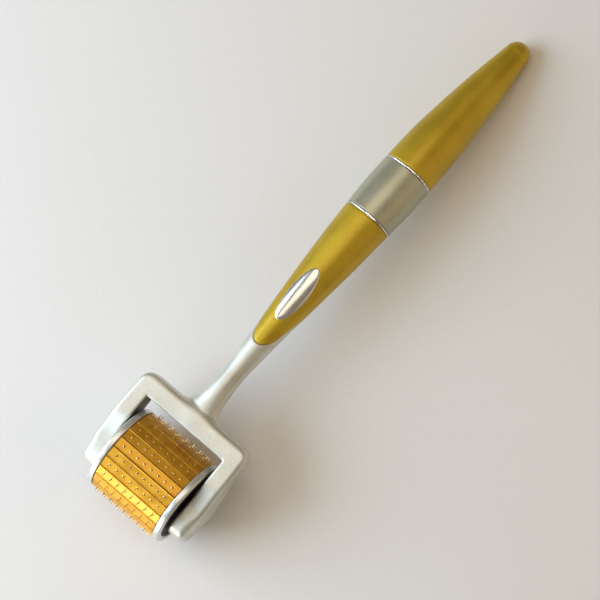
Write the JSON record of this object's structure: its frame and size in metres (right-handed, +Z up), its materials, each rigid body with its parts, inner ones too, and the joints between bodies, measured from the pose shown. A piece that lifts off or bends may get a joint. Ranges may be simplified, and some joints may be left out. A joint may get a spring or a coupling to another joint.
{
  "type": "derma roller",
  "caption": "Handheld skin roller: a drum of rows of fine needles turns between the arms of a forked silver head on an arched gold and silver handle.",
  "frame": {"origin": "middle of the whole roller's box, on the surface that it lies on", "axes": "+X from the drum towards the handle's tail, +Y along the drum's axle, +Z up"},
  "size_m": [0.1438, 0.032, 0.0236],
  "materials": {
    "silver_paint": "satin metallic silver paint on moulded plastic",
    "silver_cap": "smooth satin silver paint, slightly glossier than the head",
    "silver_inlay": "smooth polished silver paint",
    "silver_sleeve": "satin metallic grey-silver paint",
    "gold_paint": "satin metallic gold paint with fine flake",
    "drum_gold": "satin gold plastic strips that hold the steel needles",
    "bright_trim": "bright plated trim",
    "steel_pin": "ground steel",
    "nylon": "natural nylon",
    "dark_core": "black moulded plastic"
  },
  "bodies": {
    "handle": {"head_yoke": "silver_paint", "left_bushing": "nylon", "right_bushing": "nylon", "left_washer": "nylon", "right_washer": "nylon", "front_grip": "gold_paint", "grip_inlay": "silver_inlay", "front_ring": "bright_trim", "center_sleeve": "silver_sleeve", "rear_ring": "bright_trim", "tail_cap": "gold_paint", "handle_core": "dark_core"},
    "drum": {"axle_shaft": "steel_pin", "drum_core": "dark_core", "left_end_cap": "silver_cap", "right_end_cap": "silver_cap", "needle_strip_01": "drum_gold", "needle_strip_02": "drum_gold", "needle_strip_03": "drum_gold", "needle_strip_04": "drum_gold", "needle_strip_05": "drum_gold", "needle_strip_06": "drum_gold", "needle_strip_07": "drum_gold", "needle_strip_08": "drum_gold", "needle_strip_09": "drum_gold", "needle_strip_10": "drum_gold", "needle_strip_11": "drum_gold", "needle_strip_12": "drum_gold", "needle_strip_13": "drum_gold", "needle_strip_14": "drum_gold", "needle_strip_15": "drum_gold", "needle_strip_16": "drum_gold", "needle_strip_17": "drum_gold", "needle_strip_18": "drum_gold", "needle_strip_19": "drum_gold", "needle_strip_20": "drum_gold", "needle_strip_21": "drum_gold", "needle_strip_22": "drum_gold", "needle_strip_23": "drum_gold", "needle_strip_24": "drum_gold"}
  },
  "joints": [
    {"name": "drum_spin", "type": "hinge", "parent": "handle", "child": "drum", "pos_m": [-0.06013, 0, 0.01183], "axis": [0, 1, 0], "continuous": true}
  ]
}
